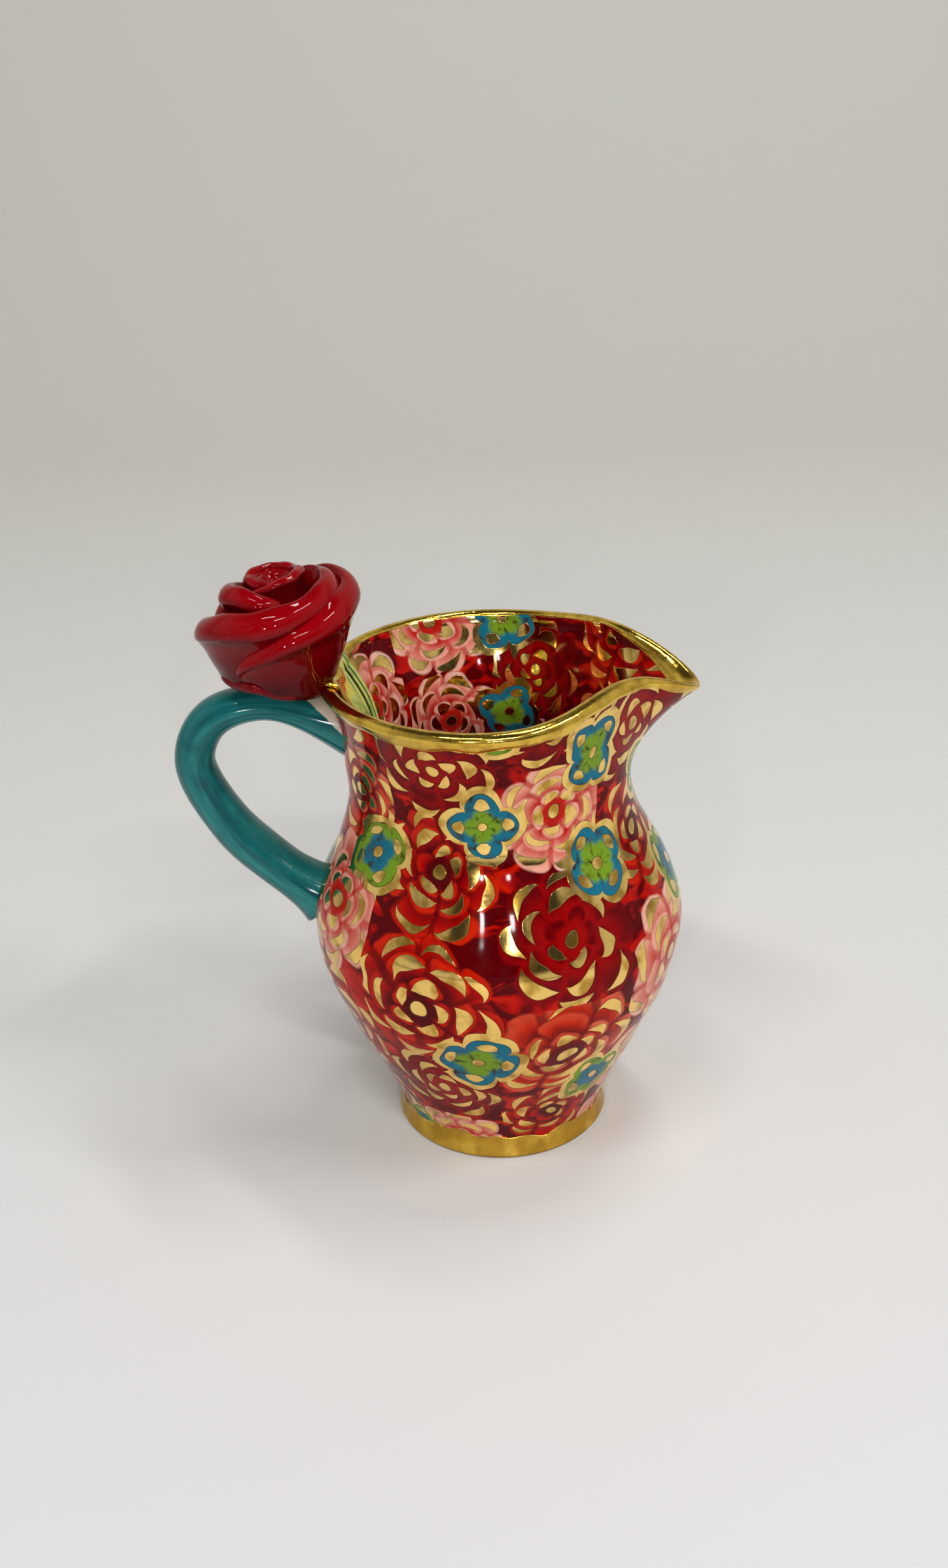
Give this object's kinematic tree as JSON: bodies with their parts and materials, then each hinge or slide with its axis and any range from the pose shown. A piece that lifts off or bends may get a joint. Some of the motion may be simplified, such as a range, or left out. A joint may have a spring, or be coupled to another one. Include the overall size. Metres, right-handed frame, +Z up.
{
  "type": "cream jug",
  "caption": "Small hand-made ceramic cream jug with a round belly, a pulled pouring spout, a looped handle that carries a modelled rose, a leaf inside the rim, and gilded rim and foot.",
  "frame": {"origin": "centre of the flat foot, on the surface the jug stands on", "axes": "+Z up, +X towards the spout, -X towards the handle and the rose"},
  "size_m": [0.1033, 0.0748, 0.1215],
  "materials": {
    "painted_glaze": "hand-painted reds and pinks with gold strokes under a clear gloss glaze",
    "gold_lustre": "brushed-on gold lustre, fired to a bright gloss",
    "teal_glaze": "brushed deep teal colour under a clear gloss glaze",
    "leaf_glaze": "thin yellow-green wash with dark engraved veins, glossy",
    "rose_glaze": "thick deep red gloss glaze"
  },
  "bodies": {
    "root": {"jug_body": "painted_glaze", "rim_gilding": "gold_lustre", "foot_gilding": "gold_lustre", "handle": "teal_glaze", "leaf": "leaf_glaze", "rose_base": "rose_glaze", "rose_bud": "rose_glaze", "rose_petal_inner_left": "rose_glaze", "rose_petal_front": "rose_glaze", "rose_petal_back": "rose_glaze", "rose_petal_outer_right": "rose_glaze", "rose_petal_outer_back": "rose_glaze", "rose_petal_low_front": "rose_glaze"}
  },
  "joints": []
}
